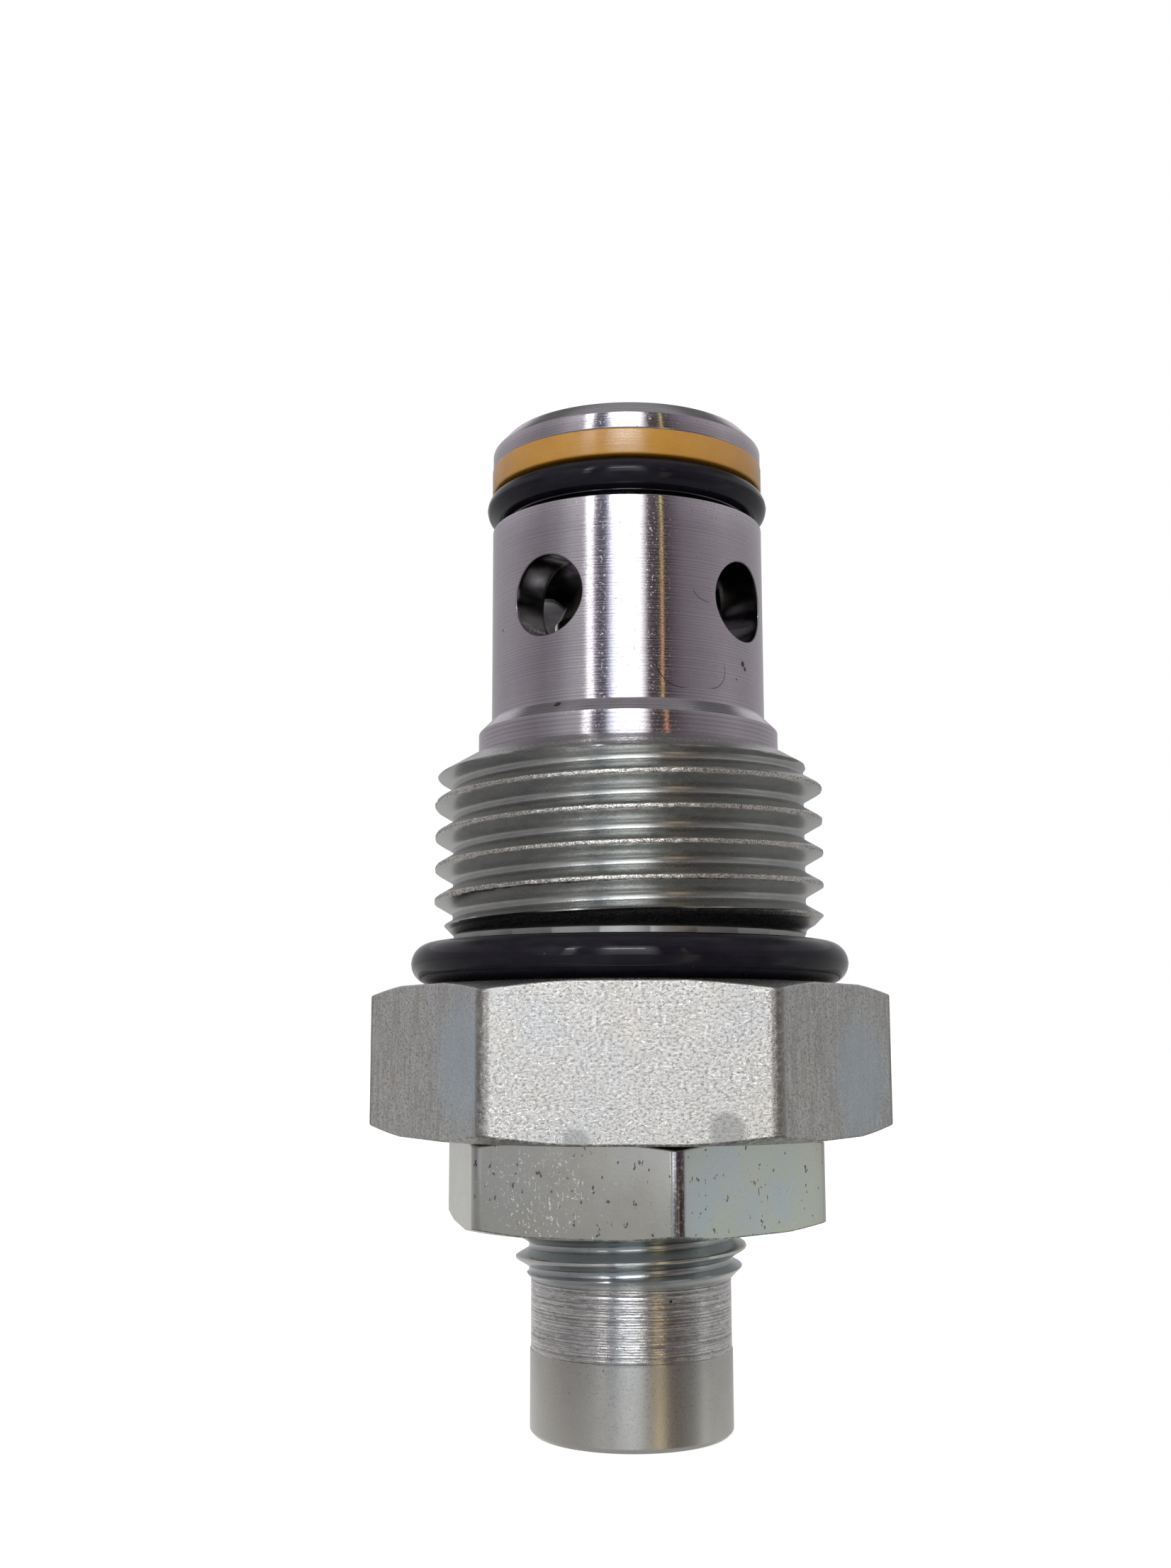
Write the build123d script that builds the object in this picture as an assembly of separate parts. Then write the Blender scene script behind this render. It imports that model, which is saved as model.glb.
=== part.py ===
from build123d import *
import math
import os

# Screw-in needle valve cartridge. Millimetres, +Z along the axis towards the nose.
# The origin is on the axis, in the plane of the hexagon's seating face.

INCH = 25.4
FULL_TURN = 360.0
CIRCLE_QUARTERS = 4

# Body: hexagon, seal groove and cavity thread (7/8-14 UNF)
HEX_FLATS = 1.0 * INCH
HEX_HEIGHT = 8.05
HEX_CORNER_R = 0.6
HEX_CHAMFER_R = 12.9  # radius where the corner chamfer meets the end face
BODY_THREAD_R = 11.0
BODY_THREAD_PITCH = INCH / 14
BODY_THREAD_ROOT_R = 9.97
BODY_END_Z = 13.0
BODY_END_R = 8.85
BODY_LEAD_ANGLE = 30.0  # slope of the lead-in cone at the thread's end
RELIEF_R = 9.9
RELIEF_TOP_Z = 2.85
SEAL_SEAT_R = 12.4  # shallow turned seat for the port O-ring, inside the seating face
SEAL_SEAT_Z = -0.1
BODY_CREST_Z = 10.65  # height of a thread crest on the -Y side
THREAD_HALF_ANGLE = 30.0
CORNER_CHAMFER_SLOPE = math.tan(math.radians(15.0))  # hexagon corners, from the end face

# Body bores, from the nose end down
BORE_MARGIN = 1.0  # how far a cutting tool runs past the end it opens
CAGE_SOCKET_R = 7.6
CAGE_SOCKET_Z = 9.6
SEAL_BORE_R = 6.75
SEAL_BORE_Z = -2.0
STEM_BORE_R = 6.4

# Cage: ported sleeve with the seat and the nose seal groove
CAGE_R = 7.83
FLANGE_R = 8.57
FLANGE_TOP_Z = 14.33
FLANGE_FILLET = 0.3
NOSE_Z = 31.8
NOSE_CHAMFER_R = 0.75
NOSE_CHAMFER_Z = 0.8
NOSE_GROOVE_R = 6.36
NOSE_GROOVE_BOTTOM_Z = 26.34
NOSE_GROOVE_TOP_Z = 30.05
CAGE_BORE_R = 5.5
SEAT_R = 4.1
SEAT_Z = 24.8
NOSE_PORT_CHAMFER = 0.5
CROSS_HOLE_R = 2.25
CROSS_HOLE_Z = 21.1
CROSS_HOLE_COUNT = 4
CROSS_HOLE_AZIMUTH = -34.9  # first hole, from -Y towards +X

# Adjusting stem: needle, seal land, 1/2-20 UNF thread and plain driven end
STEM_THREAD_R = 6.33
STEM_THREAD_ROOT_R = 5.6
STEM_THREAD_PITCH = INCH / 20
STEM_CREST_Z = -14.35  # height of a thread crest on the -Y side
STEM_THREAD_LOW_Z = -15.75
STEM_THREAD_HIGH_Z = -0.9
STEM_UNDERCUT_R = 5.45
STEM_PLAIN_R = 5.53
STEM_BAND_R = 5.49
STEM_BAND_LOW_Z = -19.5
STEM_END_Z = -23.9
STEM_EDGE_BREAK = 0.23
LAND_R = 6.7
LAND_LOW_Z = 0.6
LAND_HIGH_Z = 5.2
STEM_GROOVE_R = 4.98
STEM_GROOVE_LOW_Z = 1.3
STEM_GROOVE_HIGH_Z = 4.5
NEEDLE_R = 4.2
NEEDLE_HALF_ANGLE = 30.0
NEEDLE_TIP_R = 1.0
TURNS_TO_CLOSE = 3
SEAT_GAP = 0.05  # left between needle and seat in the closed position
SOCKET_FLATS = INCH / 4
SOCKET_DEPTH = 7.0
SOCKET_CHAMFER = 0.3

# Lock nut
NUT_FLATS = 0.75 * INCH
NUT_TOP_Z = -8.06
NUT_HEIGHT = 4.78
NUT_CORNER_R = 0.7
NUT_CHAMFER_R = 9.75
NUT_AZIMUTH = 12.4  # a corner of the nut, from -Y towards +X
NUT_BORE_CHAMFER = 0.5

# Seals
PORT_RING_R = 1.17
PORT_RING_CENTRE_R = 11.09
PORT_RING_Z = 1.27
NOSE_RING_R = 0.88
NOSE_RING_CENTRE_R = 7.27
NOSE_RING_Z = 27.66
BACKUP_R = 7.87
BACKUP_INNER_R = 6.38
BACKUP_HEIGHT = 1.47
BACKUP_EDGE = 0.08
STEM_RING_R = 0.865
STEM_RING_CENTRE_R = 5.87
STEM_RING_Z = 3.55
STEM_BACKUP_R = 6.73
STEM_BACKUP_INNER_R = 5.0
STEM_BACKUP_LOW_Z = 1.35
STEM_BACKUP_HIGH_Z = 2.6

HEX_SIDES = 6
HEX_ANGLE = FULL_TURN / HEX_SIDES
THREAD_OVERCUT = 0.12  # how far the thread cutter stands outside the crest
GROOVE_SHARE = 7 / 8  # width of a thread groove at the crest over the pitch
TRIM_RIM = 0.6  # rim radius of the corner trim over the flats, just outside the corners


def turned(points):
    """A solid of revolution about Z from a closed outline of (radius, height) points."""
    outline = Plane.XZ * Polyline(*points, close=True)
    return revolve(make_face(outline), Axis.Z, FULL_TURN)


def tube(outer_r, inner_r, low_z, high_z):
    return turned([(inner_r, low_z), (outer_r, low_z), (outer_r, high_z), (inner_r, high_z)])


def ring(tube_r, centre_r, height):
    return Pos(0, 0, height) * Torus(centre_r, tube_r)


def hexagon(flats, corner_r, low_z, high_z, turn):
    """A hexagonal prism with slightly rounded corners. At turn 0 a flat faces -Y."""
    outline = RegularPolygon(flats / 2, HEX_SIDES, major_radius=False)
    if corner_r:
        outline = fillet(outline.vertices(), corner_r)
    blank = extrude(outline, high_z - low_z)
    return Pos(0, 0, low_z) * Rot(0, 0, turn) * blank


def corner_trim(flats, low_z, high_z, chamfer_r):
    """The turned envelope that chamfers a hexagon's corners at both ends."""
    rim = flats * TRIM_RIM
    drop = (rim - chamfer_r) * CORNER_CHAMFER_SLOPE
    return turned(
        [
            (0, low_z),
            (chamfer_r, low_z),
            (rim, low_z + drop),
            (rim, high_z - drop),
            (chamfer_r, high_z),
            (0, high_z),
        ]
    )


def cut_thread(blank, crest_r, root_r, pitch, crest_z, low_z, high_z):
    """Cut a right-hand V thread, one turn at a time. crest_z is the height of a crest at -Y."""
    half_angle = math.tan(math.radians(THREAD_HALF_ANGLE))
    crest_half = pitch * GROOVE_SHARE / 2
    root_half = crest_half - (crest_r - root_r) * half_angle
    outer_half = crest_half + THREAD_OVERCUT * half_angle
    profile = [
        (root_r, -root_half),
        (root_r, root_half),
        (crest_r + THREAD_OVERCUT, outer_half),
        (crest_r + THREAD_OVERCUT, -outer_half),
    ]
    section = make_face(Plane.XZ * Polyline(*profile, close=True))
    cutter = sweep(section, path=Helix(pitch, pitch, root_r), is_frenet=True)
    groove_z = crest_z + pitch / 2 + pitch / CIRCLE_QUARTERS
    start_z = groove_z - math.ceil((groove_z - low_z) / pitch) * pitch
    for turn in range(math.ceil((high_z - start_z) / pitch)):
        blank -= Pos(0, 0, start_z + turn * pitch) * cutter
    return blank


def valve_body():
    """Zinc-plated hexagon adapter that screws into the cavity and carries the stem."""
    relief_chamfer_z = RELIEF_TOP_Z + BODY_THREAD_R - RELIEF_R
    lead = (BODY_THREAD_R - BODY_END_R) * math.tan(math.radians(BODY_LEAD_ANGLE))
    shank = turned(
        [
            (0, -HEX_HEIGHT / 2),
            (RELIEF_R, -HEX_HEIGHT / 2),
            (RELIEF_R, RELIEF_TOP_Z),
            (BODY_THREAD_R, relief_chamfer_z),
            (BODY_THREAD_R, BODY_END_Z - lead),
            (BODY_END_R, BODY_END_Z),
            (0, BODY_END_Z),
        ]
    )
    shank = cut_thread(
        shank,
        BODY_THREAD_R,
        BODY_THREAD_ROOT_R,
        BODY_THREAD_PITCH,
        BODY_CREST_Z,
        RELIEF_TOP_Z - BODY_THREAD_PITCH / 2,
        BODY_END_Z,
    )
    head = hexagon(HEX_FLATS, HEX_CORNER_R, -HEX_HEIGHT, 0, 0)
    head &= corner_trim(HEX_FLATS, -HEX_HEIGHT, 0, HEX_CHAMFER_R)
    bores = turned(
        [
            (0, -HEX_HEIGHT - BORE_MARGIN),
            (STEM_BORE_R, -HEX_HEIGHT - BORE_MARGIN),
            (STEM_BORE_R, SEAL_BORE_Z),
            (SEAL_BORE_R, SEAL_BORE_Z),
            (SEAL_BORE_R, CAGE_SOCKET_Z),
            (CAGE_SOCKET_R, CAGE_SOCKET_Z),
            (CAGE_SOCKET_R, BODY_END_Z + BORE_MARGIN),
            (0, BODY_END_Z + BORE_MARGIN),
        ]
    )
    head -= tube(SEAL_SEAT_R, RELIEF_R, SEAL_SEAT_Z, BORE_MARGIN)
    return head + shank - bores


def cage():
    """Turned sleeve with the seat, four cross holes and the nose seal groove."""
    shoulder_z = FLANGE_TOP_Z + FLANGE_R - CAGE_R
    seat_entry_z = SEAT_Z - (CAGE_BORE_R - SEAT_R)
    sleeve = turned(
        [
            (CAGE_BORE_R, CAGE_SOCKET_Z),
            (CAGE_SOCKET_R, CAGE_SOCKET_Z),
            (CAGE_SOCKET_R, BODY_END_Z),
            (FLANGE_R, BODY_END_Z),
            (FLANGE_R, FLANGE_TOP_Z),
            (CAGE_R, shoulder_z),
            (CAGE_R, NOSE_GROOVE_BOTTOM_Z),
            (NOSE_GROOVE_R, NOSE_GROOVE_BOTTOM_Z),
            (NOSE_GROOVE_R, NOSE_GROOVE_TOP_Z),
            (CAGE_R, NOSE_GROOVE_TOP_Z),
            (CAGE_R, NOSE_Z - NOSE_CHAMFER_Z),
            (CAGE_R - NOSE_CHAMFER_R, NOSE_Z),
            (SEAT_R + NOSE_PORT_CHAMFER, NOSE_Z),
            (SEAT_R, NOSE_Z - NOSE_PORT_CHAMFER),
            (SEAT_R, SEAT_Z),
            (CAGE_BORE_R, seat_entry_z),
        ]
    )
    shoulder_edges = sleeve.edges().filter_by(GeomType.CIRCLE).filter_by(
        lambda edge: FLANGE_TOP_Z - FLANGE_FILLET < edge.center().Z < shoulder_z + FLANGE_FILLET
    )
    sleeve = fillet(shoulder_edges, FLANGE_FILLET)
    along_axis = (Align.CENTER, Align.CENTER, Align.MIN)
    drill = Rot(90, 0, 0) * Cylinder(CROSS_HOLE_R, CAGE_R + BORE_MARGIN, align=along_axis)
    for index in range(CROSS_HOLE_COUNT):
        azimuth = CROSS_HOLE_AZIMUTH + index * FULL_TURN / CROSS_HOLE_COUNT
        sleeve -= Pos(0, 0, CROSS_HOLE_Z) * Rot(0, 0, azimuth) * drill
    return sleeve


def adjusting_stem():
    """Needle, seal land, adjusting thread and socket-driven end, turned from one bar."""
    lift = TURNS_TO_CLOSE * STEM_THREAD_PITCH
    taper = math.tan(math.radians(NEEDLE_HALF_ANGLE))
    contact_z = SEAT_Z - SEAT_GAP - lift
    needle_z = contact_z - (NEEDLE_R - SEAT_R) / taper
    tip_z = needle_z + (NEEDLE_R - NEEDLE_TIP_R) / taper
    start_step = STEM_THREAD_R - STEM_PLAIN_R
    stem = turned(
        [
            (0, STEM_END_Z),
            (STEM_PLAIN_R - STEM_EDGE_BREAK, STEM_END_Z),
            (STEM_PLAIN_R, STEM_END_Z + STEM_EDGE_BREAK),
            (STEM_PLAIN_R, STEM_BAND_LOW_Z),
            (STEM_BAND_R, STEM_BAND_LOW_Z),
            (STEM_BAND_R, STEM_THREAD_LOW_Z),
            (STEM_THREAD_R, STEM_THREAD_LOW_Z + start_step),
            (STEM_THREAD_R, STEM_THREAD_HIGH_Z - start_step),
            (STEM_UNDERCUT_R, STEM_THREAD_HIGH_Z),
            (STEM_UNDERCUT_R, LAND_LOW_Z),
            (LAND_R, LAND_LOW_Z),
            (LAND_R, STEM_GROOVE_LOW_Z),
            (STEM_GROOVE_R, STEM_GROOVE_LOW_Z),
            (STEM_GROOVE_R, STEM_GROOVE_HIGH_Z),
            (LAND_R, STEM_GROOVE_HIGH_Z),
            (LAND_R, LAND_HIGH_Z),
            (NEEDLE_R, LAND_HIGH_Z + (LAND_R - NEEDLE_R) / 2),
            (NEEDLE_R, needle_z),
            (NEEDLE_TIP_R, tip_z),
            (0, tip_z),
        ]
    )
    stem = cut_thread(
        stem,
        STEM_THREAD_R,
        STEM_THREAD_ROOT_R,
        STEM_THREAD_PITCH,
        STEM_CREST_Z,
        STEM_THREAD_LOW_Z - STEM_THREAD_PITCH / 2,
        STEM_THREAD_HIGH_Z,
    )
    stem -= hexagon(SOCKET_FLATS, 0, STEM_END_Z, STEM_END_Z + SOCKET_DEPTH, 0)
    socket_corner_r = SOCKET_FLATS / math.sqrt(3)
    stem -= turned(
        [
            (0, STEM_END_Z),
            (socket_corner_r, STEM_END_Z),
            (socket_corner_r - SOCKET_CHAMFER, STEM_END_Z + SOCKET_CHAMFER),
            (0, STEM_END_Z + SOCKET_CHAMFER),
        ]
    )
    return stem


def lock_nut():
    """Thin hexagon jam nut that locks the stem against the body."""
    low_z = NUT_TOP_Z - NUT_HEIGHT
    blank = hexagon(NUT_FLATS, NUT_CORNER_R, low_z, NUT_TOP_Z, NUT_AZIMUTH - HEX_ANGLE / 2)
    blank &= corner_trim(NUT_FLATS, low_z, NUT_TOP_Z, NUT_CHAMFER_R)
    mouth_r = STEM_BORE_R + NUT_BORE_CHAMFER
    bore = turned(
        [
            (0, low_z),
            (mouth_r, low_z),
            (STEM_BORE_R, low_z + NUT_BORE_CHAMFER),
            (STEM_BORE_R, NUT_TOP_Z - NUT_BORE_CHAMFER),
            (mouth_r, NUT_TOP_Z),
            (0, NUT_TOP_Z),
        ]
    )
    return blank - bore


def nose_backup_ring():
    """Anti-extrusion ring on the nose side of the nose O-ring."""
    low_z = NOSE_GROOVE_TOP_Z - BACKUP_HEIGHT
    return turned(
        [
            (BACKUP_INNER_R, low_z),
            (BACKUP_R - BACKUP_EDGE, low_z),
            (BACKUP_R, low_z + BACKUP_EDGE),
            (BACKUP_R, NOSE_GROOVE_TOP_Z - BACKUP_EDGE),
            (BACKUP_R - BACKUP_EDGE, NOSE_GROOVE_TOP_Z),
            (BACKUP_INNER_R, NOSE_GROOVE_TOP_Z),
        ]
    )


PARTS = {
    "valve_body": valve_body(),
    "cage": cage(),
    "adjusting_stem": adjusting_stem(),
    "lock_nut": lock_nut(),
    "port_o_ring": ring(PORT_RING_R, PORT_RING_CENTRE_R, PORT_RING_Z),
    "nose_o_ring": ring(NOSE_RING_R, NOSE_RING_CENTRE_R, NOSE_RING_Z),
    "nose_backup_ring": nose_backup_ring(),
    "stem_o_ring": ring(STEM_RING_R, STEM_RING_CENTRE_R, STEM_RING_Z),
    "stem_backup_ring": tube(
        STEM_BACKUP_R, STEM_BACKUP_INNER_R, STEM_BACKUP_LOW_Z, STEM_BACKUP_HIGH_Z
    ),
}

os.makedirs("parts", exist_ok=True)
for name, shape in PARTS.items():
    shape.label = name
    export_step(shape, f"parts/{name}.step")
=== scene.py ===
import math

import bmesh
import bpy
import numpy as np
from mathutils import Matrix, Vector


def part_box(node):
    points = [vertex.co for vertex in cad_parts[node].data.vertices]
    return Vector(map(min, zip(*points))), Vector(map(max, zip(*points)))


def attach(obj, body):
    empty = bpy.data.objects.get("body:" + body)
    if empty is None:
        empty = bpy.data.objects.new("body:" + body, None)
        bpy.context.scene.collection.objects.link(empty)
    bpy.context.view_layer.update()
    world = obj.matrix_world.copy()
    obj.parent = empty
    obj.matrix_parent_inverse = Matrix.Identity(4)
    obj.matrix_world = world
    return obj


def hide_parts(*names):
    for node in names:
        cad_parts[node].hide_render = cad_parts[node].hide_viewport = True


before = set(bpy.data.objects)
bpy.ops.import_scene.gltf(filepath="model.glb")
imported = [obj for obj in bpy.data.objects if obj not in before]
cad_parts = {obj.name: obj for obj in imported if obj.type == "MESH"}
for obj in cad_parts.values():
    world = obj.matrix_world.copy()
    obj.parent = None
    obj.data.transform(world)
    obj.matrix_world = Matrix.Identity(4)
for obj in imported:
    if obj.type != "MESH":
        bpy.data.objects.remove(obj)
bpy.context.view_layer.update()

MM = 0.001
TURN = 2 * math.pi
WELD_DISTANCE = 3e-7  # metres
SHORTEST_EDGE = 1e-8
FRONT = -math.pi / 2  # the angle of -Y, where azimuths start; they grow towards +X


def extent(node):
    """A node's box in millimetres: lowest corner, highest corner."""
    low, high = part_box(node)
    return np.array(low) / MM, np.array(high) / MM


def ring_size(node):
    """Tube radius, centre radius and height of a ring of round section."""
    low, high = extent(node)
    tube = (high[2] - low[2]) / 2
    return tube, high[0] - tube, (high[2] + low[2]) / 2


BODY_LOW, BODY_HIGH = extent("valve_body")
CAGE_LOW, CAGE_HIGH = extent("cage")
STEM_LOW, STEM_HIGH = extent("adjusting_stem")
NUT_LOW, NUT_HIGH = extent("lock_nut")
BACKUP_LOW, BACKUP_HIGH = extent("nose_backup_ring")

# Valve body, millimetres
HEX_APOTHEM = BODY_HIGH[1]
HEX_LOW_Z = BODY_LOW[2]
HEX_CORNER_R = 0.6
HEX_CHAMFER_R = 12.9
HEX_EDGE_R = 0.14
HEX_CORNER_SHADE_R = 14.47  # painted shade darkens the rounded corners, which lie outside this radius
BODY_END_Z = BODY_HIGH[2]
BODY_END_R = 8.85
THREAD_R = 11.0
THREAD_ROOT_R = 9.97
THREAD_PITCH = 25.4 / 14
THREAD_CREST_Z = 10.65
LEAD_SLOPE = math.tan(math.radians(30))
RELIEF_R = 9.9
RELIEF_TOP_Z = 2.85
RELIEF_FILLET = 0.06
SEAL_SEAT_R = 12.4
SEAL_SEAT_Z = -0.1
FACE_START_R = SEAL_SEAT_R + 0.1  # the seating face, from here to the hexagon's edge
STEM_BORE_R = 6.4
SEAL_BORE_R = 6.75
SEAL_BORE_Z = -2.0
BODY_BORE_CHAMFER = 0.4
SOCKET_R = 7.6
SOCKET_Z = CAGE_LOW[2]

# Cage
CAGE_R = 7.83
FLANGE_R = CAGE_HIGH[0]
FLANGE_TOP_Z = 14.33
NOSE_Z = CAGE_HIGH[2]
GROOVE_R = 6.36
GROOVE_LOW_Z = 26.34
GROOVE_HIGH_Z = BACKUP_HIGH[2]
NOSE_CHAMFER_R = 0.75
NOSE_CHAMFER_Z = 0.8
CAGE_BORE_R = 5.5
SEAT_R = 4.1
SEAT_Z = 24.8
NOSE_PORT_CHAMFER = 0.5
HOLE_R = 2.25
HOLE_Z = 21.1
HOLE_AZIMUTH = math.radians(-34.9)

# Adjusting stem
STEM_THREAD_R = 6.33
STEM_ROOT_R = 5.6
STEM_PITCH = 25.4 / 20
STEM_CREST_Z = -14.35
STEM_THREAD_LOW_Z = -15.75
STEM_THREAD_HIGH_Z = -0.9
STEM_PLAIN_R = 5.53
STEM_BAND_R = 5.49
STEM_BAND_LOW_Z = -19.5
STEM_END_Z = STEM_LOW[2]
STEM_EDGE_BREAK = 0.23
STEM_UNDERCUT_R = 5.45
STEM_TIP_Z = STEM_HIGH[2]
LAND_R = STEM_HIGH[0]
LAND_LOW_Z = 0.6
LAND_HIGH_Z = 5.2
STEM_GROOVE_R = 4.98
STEM_GROOVE_LOW_Z = 1.3
STEM_GROOVE_HIGH_Z = 4.5
NEEDLE_R = 4.2
NEEDLE_START_Z = 6.45
NEEDLE_TIP_R = 1.0
NEEDLE_CONE_Z = STEM_TIP_Z - (NEEDLE_R - NEEDLE_TIP_R) / math.tan(math.radians(30))
KEY_APOTHEM = 25.4 / 8
KEY_DEPTH = 7.0

# Lock nut
NUT_APOTHEM = 25.4 * 3 / 8
NUT_AZIMUTH = math.radians(12.4)
NUT_CORNER_R = 0.7
NUT_CHAMFER_R = 9.75
NUT_EDGE_R = 0.1
NUT_BORE_CHAMFER = 0.5

CHAMFER_NORMAL = math.radians(75)  # a 15 degree corner chamfer's normal, above the horizontal


# ---------------- meshes


def add_object(name, data):
    made = bpy.data.objects.new(name, data)
    bpy.context.scene.collection.objects.link(made)
    return made


class Skin:
    """Grids of points, in millimetres, that are welded into one mesh."""

    def __init__(self):
        self.points, self.wear_and_edge_shade, self.faces, self.looks = [], [], [], []
        self.count = 0

    def grid(self, columns, wear_and_edge_shade=0.0, lift=0, wrap=True, look=0):
        """Adds columns of points. The last column meets the first, raised by lift rows."""
        n, k, _ = columns.shape
        index = self.count + np.arange(n * k).reshape(n, k)
        self.count += n * k
        self.points.append(columns.reshape(-1, 3))
        self.wear_and_edge_shade.append(np.broadcast_to(wear_and_edge_shade, (n, k)).reshape(-1))
        self._quads(index[:-1], index[1:], look)
        if wrap:
            self._quads(index[-1:, : k - lift], index[:1, lift:], look)

    def _quads(self, here, there, look):
        quads = np.stack(
            [here[:, :-1], there[:, :-1], there[:, 1:], here[:, 1:]], axis=-1
        ).reshape(-1, 4)
        self.faces.append(quads)
        self.looks += [look] * len(quads)

    def build(self, name, materials, body, node, sharp_angle=32.0):
        """Makes the piece, which rides on a body, has a slot's finish and replaces a CAD node."""
        mesh = bpy.data.meshes.new(name)
        points = np.concatenate(self.points) * MM
        mesh.from_pydata(points.tolist(), [], np.concatenate(self.faces).tolist())
        mesh.polygons.foreach_set("material_index", self.looks)
        layer = mesh.attributes.new("wear_and_edge_shade", "FLOAT", "POINT")
        layer.data.foreach_set("value", np.concatenate(self.wear_and_edge_shade).astype(np.float32))
        work = bmesh.new()
        work.from_mesh(mesh)
        bmesh.ops.remove_doubles(work, verts=work.verts, dist=WELD_DISTANCE)
        bmesh.ops.dissolve_degenerate(work, edges=work.edges, dist=SHORTEST_EDGE)
        bmesh.ops.recalc_face_normals(work, faces=work.faces)
        work.to_mesh(mesh)
        work.free()
        mesh.shade_smooth()
        mesh.set_sharp_from_angle(angle=math.radians(sharp_angle))
        for material in materials:
            mesh.materials.append(material)
        piece = add_object(name, mesh)
        normals = piece.modifiers.new("weighted_normals", "WEIGHTED_NORMAL")
        normals.keep_sharp = True
        normals.weight = 80
        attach(piece, body)
        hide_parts(node)


def smooth_corner(before, corner, after, radius, steps):
    """A short arc in place of one corner of an outline."""
    before, corner, after = map(np.array, (before, corner, after))
    to_before, to_after = before - corner, after - corner
    reach = [np.linalg.norm(v) for v in (to_before, to_after)]
    cosine = to_before @ to_after / (reach[0] * reach[1])
    half = math.acos(max(-1.0, min(1.0, cosine))) / 2
    if half > math.radians(88):
        return [tuple(corner)]
    cut = min(radius / math.tan(half), 0.45 * min(reach))
    start = corner + to_before / reach[0] * cut
    end = corner + to_after / reach[1] * cut
    shares = np.linspace(0, 1, steps + 1)
    return [
        tuple((1 - s) ** 2 * start + 2 * s * (1 - s) * corner + s * s * end)
        for s in shares
    ]


def rounded(outline, radius=0.05, steps=4):
    """An open outline of (radius, height[, corner radius]) with its inner corners rounded.
    Returns the points and, for each, its wear and edge-shade mask: 1 on a rounded corner."""
    points, wear_and_edge_shade = [tuple(outline[0][:2])], [0.0]
    for before, corner, after in zip(outline, outline[1:], outline[2:]):
        size = corner[2] if len(corner) > 2 else radius
        arc = smooth_corner(before[:2], corner[:2], after[:2], size, steps)
        points += arc
        wear_and_edge_shade += [1.0 if len(arc) > 1 else 0.0] * len(arc)
    return points + [tuple(outline[-1][:2])], wear_and_edge_shade + [0.0]


def spun(angles, outlines):
    """Columns of points from one outline of (radius, height) for each angle, or one for all."""
    outlines = np.asarray(outlines, float)
    if outlines.ndim == 2:
        outlines = np.broadcast_to(outlines, (len(angles), *outlines.shape))
    radius, height = outlines[..., 0], outlines[..., 1]
    x = radius * np.cos(angles)[:, None]
    y = radius * np.sin(angles)[:, None]
    return np.stack([x, y, height], axis=-1)


def even_angles(count, start=FRONT):
    return start + np.arange(count) * TURN / count


def with_corners(angles, corner, offsets_deg):
    """The angles, with more of them beside each of six corners."""
    corners = corner + np.arange(6) * TURN / 6
    extra = [c + s * math.radians(d) for c in corners for d in offsets_deg for s in (-1, 1)]
    wrapped = (np.concatenate([angles, corners, extra]) - FRONT) % TURN
    return FRONT + np.unique(np.round(wrapped, 9))


def hex_radius(angles, apothem, corner, corner_r):
    """Distance from the axis to a hexagon with rounded corners, at each angle."""
    sixth = TURN / 6
    off = np.abs((angles - corner + sixth / 2) % sixth - sixth / 2)
    flat = apothem / np.cos(sixth / 2 - off)
    centre = (apothem - corner_r) / math.cos(sixth / 2)
    tangent = math.atan2(
        corner_r * math.sin(sixth / 2), centre + corner_r * math.cos(sixth / 2)
    )
    inside = np.maximum(corner_r**2 - (centre * np.sin(off)) ** 2, 0)
    arc = centre * np.cos(off) + np.sqrt(inside)
    return np.where(off < tangent, arc, flat)


def chamfered_end(wall_r, end_z, chamfer_r, edge_r, up):
    """One end of a chamfered hexagon at one angle, from the end face to the wall, edges rounded."""
    cosine, sine = math.cos(CHAMFER_NORMAL), math.sin(CHAMFER_NORMAL)
    face = -edge_r
    inner = chamfer_r - edge_r * (1 - sine) / cosine
    wall = wall_r - edge_r
    if wall > inner:
        first = (inner, face)
        second = (wall, (cosine * chamfer_r - edge_r - cosine * wall) / sine)
    else:
        first = second = (wall, face)
    out = []
    for centre, start, stop, count in (
        (first, math.pi / 2, CHAMFER_NORMAL, 3),
        (second, CHAMFER_NORMAL, 0.0, 5),
    ):
        for a in np.linspace(start, stop, count):
            r = centre[0] + edge_r * math.cos(a)
            z = centre[1] + edge_r * math.sin(a)
            out.append((r, end_z + (z if up else -z)))
    return out


def chamfered_sides(walls, low_z, high_z, chamfer_r, edge_r):
    """For each wall radius of a hexagon, its outline from the upper end face to the lower one."""
    for wall in walls:
        top = chamfered_end(wall, high_z, chamfer_r, edge_r, True)
        bottom = chamfered_end(wall, low_z, chamfer_r, edge_r, False)
        yield top + bottom[::-1]


def noise_along(rng, length, reach):
    """Smooth random values from -1 to 1 along a line, as a function of the place on it."""
    values = rng.uniform(-1, 1, int(length / reach) + 4)
    return lambda at: np.interp(np.asarray(at) / reach, np.arange(len(values)), values)


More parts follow.
